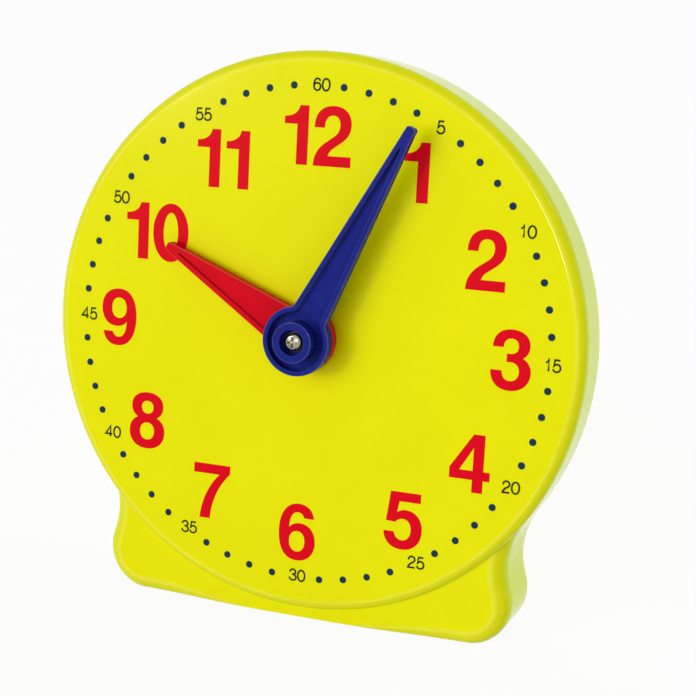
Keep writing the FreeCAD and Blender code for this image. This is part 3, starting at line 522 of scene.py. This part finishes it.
def new_drawing(name):
    """An empty filled curve, as thick as the ink."""
    curve = bpy.data.curves.new(name, "CURVE")
    curve.dimensions = "2D"
    curve.fill_mode = "BOTH"
    curve.resolution_u = CURVE_STEPS
    curve.extrude = INK_THICKNESS / 2
    return curve


def print_mesh(mesh, name, ink):
    """A mesh drawn in millimetres, as a new piece of ink in its place on the dial."""
    mesh.transform(PRINT_MM)
    mesh.materials.clear()
    mesh.materials.append(ink)
    mesh.name = name
    piece = bpy.data.objects.new(name, mesh)
    bpy.context.scene.collection.objects.link(piece)
    return piece


def print_curve(curve, name, ink):
    """A filled curve, turned into a mesh and printed, that rides with the case."""
    drawing = bpy.data.objects.new(name + "_drawing", curve)
    bpy.context.scene.collection.objects.link(drawing)
    evaluated = drawing.evaluated_get(bpy.context.evaluated_depsgraph_get())
    mesh = bpy.data.meshes.new_from_object(evaluated)
    bpy.data.objects.remove(drawing)
    piece = print_mesh(mesh, name, ink)
    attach(piece, "case")
    return piece


print("ink film:", INK_THICKNESS, "mm")

# %% [markdown]
# The nine is the six turned half way round, as in most heavy sans serifs.
# Each numeral's place is its lower left corner on the dial, from the dial's centre.

# %% Hour numerals
HOUR_PLACES = [
    ("1", -7.5, 37.35), ("2", -0.6, 37.35), ("1", 20.1, 31.1), ("2", 35.0, 13.95),
    ("3", 41.6, -6.4), ("4", 34.1, -29.45), ("5", 20.1, -44.2), ("6", -4.5, -50.45),
    ("7", -25.9, -44.0), ("8", -42.6, -29.7), ("9", -50.5, -6.55), ("1", -44.85, 13.75),
    ("0", -38.2, 13.7), ("1", -27.95, 31.05), ("1", -21.0, 31.05),
]
NINE_TURN = Vector((8.75, 12.8))


def draw_outline(curve, points):
    """One closed Bezier spline through the points, with their handles."""
    spline = curve.splines.new("BEZIER")
    spline.use_cyclic_u = True
    spline.bezier_points.add(len(points) - 1)
    for knot, (before, here, after) in zip(spline.bezier_points, points):
        knot.handle_left_type = knot.handle_right_type = "FREE"
        knot.co = here.to_3d()
        knot.handle_left = before.to_3d()
        knot.handle_right = after.to_3d()


hours = new_drawing("hour_numerals")
for digit, x, z in HOUR_PLACES:
    for text in NUMERALS["6" if digit == "9" else digit]:
        points = read_outline(text)
        if digit == "9":
            points = [[NINE_TURN - p for p in three] for three in points]
        draw_outline(hours, [[p + Vector((x, z)) for p in three] for three in points])
hour_print = print_curve(hours, "hour_numerals", hour_ink)
print("hour numerals:", len(hour_print.data.polygons), "faces")

# %% [markdown]
# A dot stands at each minute that has no number, 54.5 mm from the centre and 1.6 mm wide.
# Four quarter ovals make each dot with the same outline reader.

# %% Minute dots
DOT_CIRCLE = 54.5
DOT_WIDTH = 1.58

dots = new_drawing("minute_dots")
half = DOT_WIDTH / 2
round_dot = read_outline(f"M 0 {half} H {half} 0 V 0 {-half} H {-half} 0 V 0 {half}")
for minute in range(60):
    if minute % 5:
        turn = math.radians(minute * 6)
        centre = DOT_CIRCLE * Vector((math.sin(turn), math.cos(turn)))
        draw_outline(dots, [[p + centre for p in three] for three in round_dot])
print_curve(dots, "minute_dots", dot_ink)
print("dots:", len(dots.splines))

# %% [markdown]
# The minute numbers are thin strokes, 2.5 mm high and about 0.4 mm wide.
# A stroke is drawn along its middle, and a ribbon of the stroke's width is laid along that line.
# The strokes use the same letters as the outlines, but stay open. Each digit has its width first.

# %% Minute number strokes
NUMBER_HEIGHT = 2.5
NUMBER_STROKE = 0.41
NUMBER_GAP = 0.42
STROKE_STEPS = 8
SHARPEST_MITRE = 0.45
STROKES = {
    "0": (1.65, ["M 0.825 2.5 H 1.65 1.25 V 0.825 0 H 0 1.25 V 0.825 2.5"]),
    "1": (1.35, ["M 0.2 1.85 C 0.55 1.85 0.8 2.05 0.85 2.5 L 0.85 0"]),
    "2": (1.6, ["M 0.08 1.7 V 0.8 2.5 H 1.52 1.8 C 1.52 1.2 0.2 1.0 0.06 0.03 L 1.6 0.03"]),
    "3": (1.6, [
        "M 0.1 1.82 V 0.8 2.5 H 1.45 1.88 V 0.62 1.34",
        "M 0.62 1.34 H 1.6 0.68 V 0.8 0 H 0.03 0.7",
    ]),
    "4": (1.7, ["M 1.25 0 L 1.25 2.5 L 0.03 0.65 L 1.7 0.65"]),
    "5": (1.6, [
        "M 1.45 2.5 L 0.36 2.5 L 0.18 1.2 C 0.45 1.55 0.7 1.62 0.88 1.62 "
        "H 1.6 0.8 V 0.78 0 H 0.05 0.6"
    ]),
    "6": (1.6, [
        "M 1.45 1.95 C 1.4 2.3 1.15 2.5 0.85 2.5 H 0.05 1.15 V 0.82 0 "
        "H 1.58 0.8 V 0.85 1.58 H 0.06 0.8"
    ]),
}
MINUTE_PLACES = {
    "60": (0.6, 54.6), "5": (27.6, 47.15), "10": (47.65, 27.05), "15": (54.85, -0.2),
    "20": (47.85, -27.15), "25": (27.95, -46.75), "30": (0.4, -54.0), "35": (-26.65, -46.75),
    "40": (-46.9, -27.0), "45": (-53.85, 0.0), "50": (-46.35, 27.2), "55": (-26.8, 46.8),
}


def bezier_point(t, start, leave, arrive, end):
    """The point a share t of the way along one Bezier piece."""
    s = 1 - t
    return s**3 * start + 3 * s**2 * t * leave + 3 * s * t * t * arrive + t**3 * end


def stroke_line(text):
    """The points along the middle of a stroke, its curves divided evenly."""
    line = []
    for step, numbers in read_steps(text):
        end = Vector(numbers[-2:])
        if step in "ML":
            line.append(end)
            continue
        start = line[-1]
        leave, arrive = handles(step, start, end, numbers)
        for k in range(1, STROKE_STEPS + 1):
            line.append(bezier_point(k / STROKE_STEPS, start, leave, arrive, end))
    return line


def ribbon(line, width):
    """The two sides of a ribbon laid along a line, with mitred corners."""
    sides = ([], [])
    closed = (line[0] - line[-1]).length < 1e-6
    for k, here in enumerate(line):
        back = line[k - 1] if k else (line[-2] if closed else None)
        ahead = line[k + 1] if k + 1 < len(line) else (line[1] if closed else None)
        before = (here - back).normalized() if back else (ahead - here).normalized()
        after = (ahead - here).normalized() if ahead else before
        square = Vector((-(before + after).y, (before + after).x)).normalized()
        reach = width / 2 / max(SHARPEST_MITRE, square.dot(Vector((-after.y, after.x))))
        sides[0].append(here + square * reach)
        sides[1].append(here - square * reach)
    return sides


print("minute numbers:", len(MINUTE_PLACES))

# %% [markdown]
# The ribbon's quads go straight into one mesh, because a closed ribbon such as the nought's would
# need a hole. The mesh is made in millimetres and laid on the dial like the curves.

# %% Minute numbers
corners = []
quads = []
for number, (x, z) in MINUTE_PLACES.items():
    width = sum(STROKES[digit][0] for digit in number) + NUMBER_GAP * (len(number) - 1)
    pen = Vector((x - width / 2, z - NUMBER_HEIGHT / 2))
    for digit in number:
        digit_width, texts = STROKES[digit]
        for text in texts:
            one_side, other_side = ribbon(stroke_line(text), NUMBER_STROKE)
            first = len(corners)
            for a, b in zip(one_side, other_side):
                corners += [pen + a, pen + b]
            quads += [
                (first + 2 * k, first + 2 * k + 1, first + 2 * k + 3, first + 2 * k + 2)
                for k in range(len(one_side) - 1)
            ]
        pen.x += digit_width + NUMBER_GAP
number_mesh = bpy.data.meshes.new("minute_numbers")
number_mesh.from_pydata([(p.x, p.y, INK_THICKNESS / 2) for p in corners], [], quads)
number_print = print_mesh(number_mesh, "minute_numbers", minute_ink)
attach(number_print, "case")
print("minute numbers:", len(quads), "quads")

# %% [markdown]
# The clock stands on a plain pale floor that curves up into a backdrop far behind it.
# Where it is seen, the floor is mostly its own white light, so that the background is white, and a
# part of it still takes the soft shadow under the foot. For the light that it throws back up onto
# the clock it is a pale grey.

# %% Floor and backdrop
SEEN_WHITE = "#f8f8f8"
BOUNCE_GREY = "#f0f0f0"
GLOW_SHARE = 0.9
FLOOR_HALF = 3.0
BACKDROP_TOP = 3.0
SWEEP = 1.0
SWEEP_STEPS = 10


def plainly_seen(tree):
    """1 for what the camera, a mirror or a lens sees, and 0 for light thrown on the clock."""
    path = add(tree, "LightPath").outputs
    seen = maths(tree, "ADD", path["Is Camera Ray"], path["Is Glossy Ray"])
    return maths(tree, "ADD", seen, path["Is Transmission Ray"], use_clamp=True)


def studio_white():
    material, tree, shader = new_material("studio_white_floor", SEEN_WHITE, 0.9)
    shader.inputs["Specular IOR Level"].default_value = 0.0
    seen = plainly_seen(tree)
    connect(tree, shader, Base_Color=blend(tree, seen, BOUNCE_GREY, SEEN_WHITE))
    share = maths(tree, "MULTIPLY", seen, GLOW_SHARE)
    glow = add(tree, "Emission", {"Color": (1, 1, 1, 1), "Strength": 1.0}).outputs[0]
    surface = add(tree, "MixShader", {0: share, 1: shader.outputs[0], 2: glow}).outputs[0]
    tree.links.new(surface, tree.nodes["Material Output"].inputs["Surface"])
    return material


turns = [math.radians(90 * k / SWEEP_STEPS) for k in range(1, SWEEP_STEPS + 1)]
curve_start = FLOOR_HALF - SWEEP
profile = [(-FLOOR_HALF, 0.0), (curve_start, 0.0)]
profile += [(curve_start + SWEEP * math.sin(a), SWEEP - SWEEP * math.cos(a)) for a in turns]
profile.append((FLOOR_HALF, BACKDROP_TOP))
floor_mesh = bpy.data.meshes.new("floor")
floor_mesh.from_pydata(
    [(side * FLOOR_HALF, y, z) for y, z in profile for side in (-1, 1)],
    [],
    [(2 * k, 2 * k + 1, 2 * k + 3, 2 * k + 2) for k in range(len(profile) - 1)],
)
for face in floor_mesh.polygons:
    face.use_smooth = True
floor_mesh.materials.append(studio_white())
floor = bpy.data.objects.new("floor", floor_mesh)
bpy.context.scene.collection.objects.link(floor)
print("floor:", 2 * FLOOR_HALF, "m wide")

# %% [markdown]
# The light is a white room: the world lights the clock from everywhere at a bit under half
# strength, and mirrors see it as plain white. The lamps are sun lamps, whose light is the same at
# every place, each with its own width. The key is as wide as a large window, comes from the left
# and throws the hands' soft shadows to the right. Two narrow ones in front draw the thin bright
# line where the dial's edge starts to curve, and two on the right brighten the side wall and draw
# the line between wall and edge. The widest one lights the back. The wide lamps stand for light
# that a diffuser has spread, so they don't show in reflections.

# %% World and lamps
ROOM_LIGHT = 0.43

world = bpy.data.worlds.new("white_room")
bpy.context.scene.world = world
world.use_nodes = True
background = world.node_tree.nodes["Background"]
background.inputs["Color"].default_value = (1, 1, 1, 1)
strength = between(world.node_tree, plainly_seen(world.node_tree), ROOM_LIGHT, 1.0)
world.node_tree.links.new(strength, background.inputs["Strength"])


def window(name, towards, spread, strength, mirrored=True):
    """A soft lamp far away: towards points from the clock to it, spread is its width in degrees."""
    lamp = bpy.data.lights.new(name, "SUN")
    lamp.angle = math.radians(spread)
    lamp.energy = strength
    lit = bpy.data.objects.new(name, lamp)
    lit.rotation_euler = (-Vector(towards)).to_track_quat("-Z", "Y").to_euler()
    lit.visible_glossy = mirrored
    bpy.context.scene.collection.objects.link(lit)


window("key_window", (-0.56, -0.9, 0.34), 40, 1.18, mirrored=False)
window("front_left_strip", (-0.47, -0.86, 0.18), 7, 0.34)
window("front_strip", (-0.1, -0.987, 0.12), 6, 0.18)
window("side_window", (0.75, 0.55, 0.6), 25, 0.78, mirrored=False)
window("edge_window", (0.8, 0.13, 0.58), 8, 0.3)
window("back_window", (-0.3, 0.9, 0.5), 60, 1.0, mirrored=False)
print("room light:", ROOM_LIGHT)

# %% [markdown]
# The camera stands where the photograph was taken from: a little to the right of the clock and
# above it, about a third of a metre away. Its place and lens come from the printed dots, whose
# circle looks narrowed and tilted from there, and from how much larger the near side looks than
# the far one.

# %% Camera
CAMERA_PLACE = (0.12557, -0.30941, 0.16844)
CAMERA_TURN = (72.17, 0.095, 20.574)
SENSOR_MM = 36.0
LENS_MM = 82.64

camera_data = bpy.data.cameras.new("camera")
camera_data.sensor_width = SENSOR_MM
camera_data.lens = LENS_MM
camera = bpy.data.objects.new("camera", camera_data)
camera.location = CAMERA_PLACE
camera.rotation_euler = [math.radians(a) for a in CAMERA_TURN]
bpy.context.scene.collection.objects.link(camera)
bpy.context.scene.camera = camera
bpy.context.scene.view_settings.view_transform = "Standard"
print("camera:", [round(v, 3) for v in camera.location])
